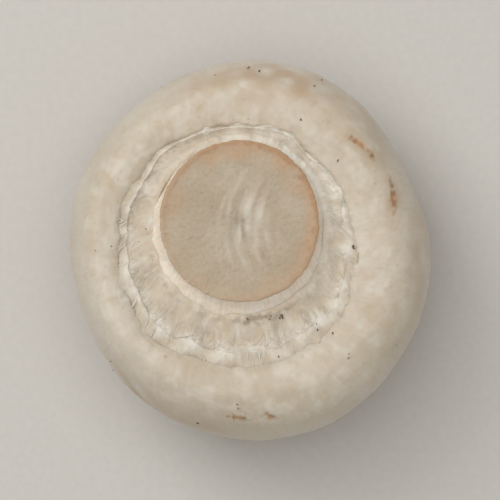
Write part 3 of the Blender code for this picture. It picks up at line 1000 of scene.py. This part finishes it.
def paint_veil(piece):
    """Cottony tissue of the veil: off-white, with painted light where it stands up and greyer tan painted
    shade in its hollows. Brownish painted shade also lies along the seam with the stem and in the groove at
    the margin, and dust from the bed gathers brown along the stem on one side."""
    tree, place = new_material("veil cotton", piece)
    grain, high, crease_shade, dust = fields_of(tree, "high", "crease_shade", "dust")
    fibres = noise(tree, grain, 0.3, 4)
    colour = coated(
        # painted light and shade by height: greyer tan in the hollows, off-white where the cotton stands up
        tree, ramp(tree, high, (0.15, "bcae99"), (0.45, "c8bdac"), (0.85, "dcd6cb")),
        ("bfb09a", fibres, 0.45, 0.75, 0.3),
        ("c0b099", noise(tree, place, 1.6, 4), 0.5, 0.75, 0.5),
        # painted shade at the seam and in the groove
        ("9d8769", crease_shade, 0.3, 1, 0.4),
        ("8d7b66", dust, 0.2, 1, 0.6),
    )
    finish_flesh(tree, colour, (fibres, noise(tree, place, 0.35, 4)), 0.06 * MM, 0.85, 0.2)


def paint_threads(pieces):
    """Dry threads of veil: off-white, paler than what they lie on, with no gloss."""
    for piece in pieces:
        tree, place = new_material("veil thread", piece)
        colour = ramp(tree, noise(tree, place, 1.5, 3), (0.35, "c2b49e"), (0.65, "e0d8ca"))
        finish_flesh(tree, colour, (noise(tree, place, 0.1, 2), 0.0), 0.01 * MM, 0.8, 0.2)


def paint_crumbs(piece):
    """Damp peat: near-black brown to rust, rough, with a faint wet shine on some crumbs."""
    tree, place = new_material("peat", piece)
    patches = noise(tree, place, 0.5, 4)
    colour = ramp(tree, patches, (0.35, "4a3a2c"), (0.5, "6b5642"), (0.65, "93785a"))
    finish(tree, colour, spread(tree, patches, 0, 1, 0.55, 1), patches, 0.05 * MM)


def make_floor():
    """A level sheet of pale card that the mushroom rests on."""
    mesh = bpy.data.meshes.new("floor")
    corners = [(-1, -1), (1, -1), (1, 1), (-1, 1)]
    mesh.from_pydata([(x * FLOOR_REACH, y * FLOOR_REACH, 0) for x, y in corners], [], [(0, 1, 2, 3)])
    floor = bpy.data.objects.new("floor", mesh)
    bpy.context.scene.collection.objects.link(floor)
    tree, place = new_material("pale card", floor)
    colour = ramp(tree, noise(tree, place, 0.8, 3), (0.3, "c2beb8"), (0.7, "c6c2bc"))
    shader = node(tree, "ShaderNodeBsdfPrincipled", {"Base Color": colour, "Roughness": 0.8})
    node(tree, "ShaderNodeOutputMaterial", {"Surface": shader.outputs[0]})


def light_and_camera():
    """A large soft light from above, a weaker one from the upper left, dim even light all round, and the
    camera straight above, its frame a little wider than the mushroom."""
    scene = bpy.context.scene
    aim = Vector((0, 0, CAP_WIDEST_HEIGHT))
    for name, place, size, power in LAMPS:
        lamp = bpy.data.lights.new(name, "AREA")
        lamp.size = size
        lamp.energy = power
        light = bpy.data.objects.new(name, lamp)
        light.location = place
        light.rotation_euler = (aim - light.location).to_track_quat("-Z", "Y").to_euler()
        scene.collection.objects.link(light)

    scene.world = bpy.data.worlds.new("studio")
    scene.world.use_nodes = True
    background = scene.world.node_tree.nodes["Background"]
    background.inputs["Color"].default_value = linear("e8e6e2")
    background.inputs["Strength"].default_value = ROOM_LIGHT
    scene.view_settings.view_transform = "Standard"

    lens = bpy.data.cameras.new("camera")
    lens.lens = CAMERA_LENS
    lens.sensor_width = CAMERA_SENSOR
    camera = bpy.data.objects.new("camera", lens)
    camera.location = (0, 0, CAMERA_HEIGHT)
    scene.collection.objects.link(camera)
    scene.camera = camera


def main():
    """Builds and paints every piece, sets the stage and ties the pieces to the frame."""
    make_floor()
    light_and_camera()
    cap, cap_grid, lip_row = make_cap()
    stem, stem_grid = make_stem()
    veil, veil_grid, edge_row = make_veil()
    chance = np.random.default_rng(SEED)
    threads = make_veil_threads(veil_grid, edge_row, chance)
    shreds = make_margin_shreds(veil_grid, edge_row, cap_grid, lip_row, chance)
    fuzz = make_fuzz(veil_grid, edge_row, cap_grid, lip_row, chance)
    crumbs = make_crumbs((cap_grid, stem_grid, veil_grid), lip_row, chance)

    paint_cuticle(cap)
    paint_stem(stem)
    paint_veil(veil)
    paint_threads((threads, shreds, fuzz))
    paint_crumbs(crumbs)

    for piece, cad_node, record_slot in (
        (cap, "cap", "cap_skin"), (stem, "stem", "stem_flesh"), (veil, "veil", "veil_down")
    ):
        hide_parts(cad_node)
    for piece in (cap, stem, veil, threads, shreds, fuzz, crumbs):
        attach(piece, "root")


main()
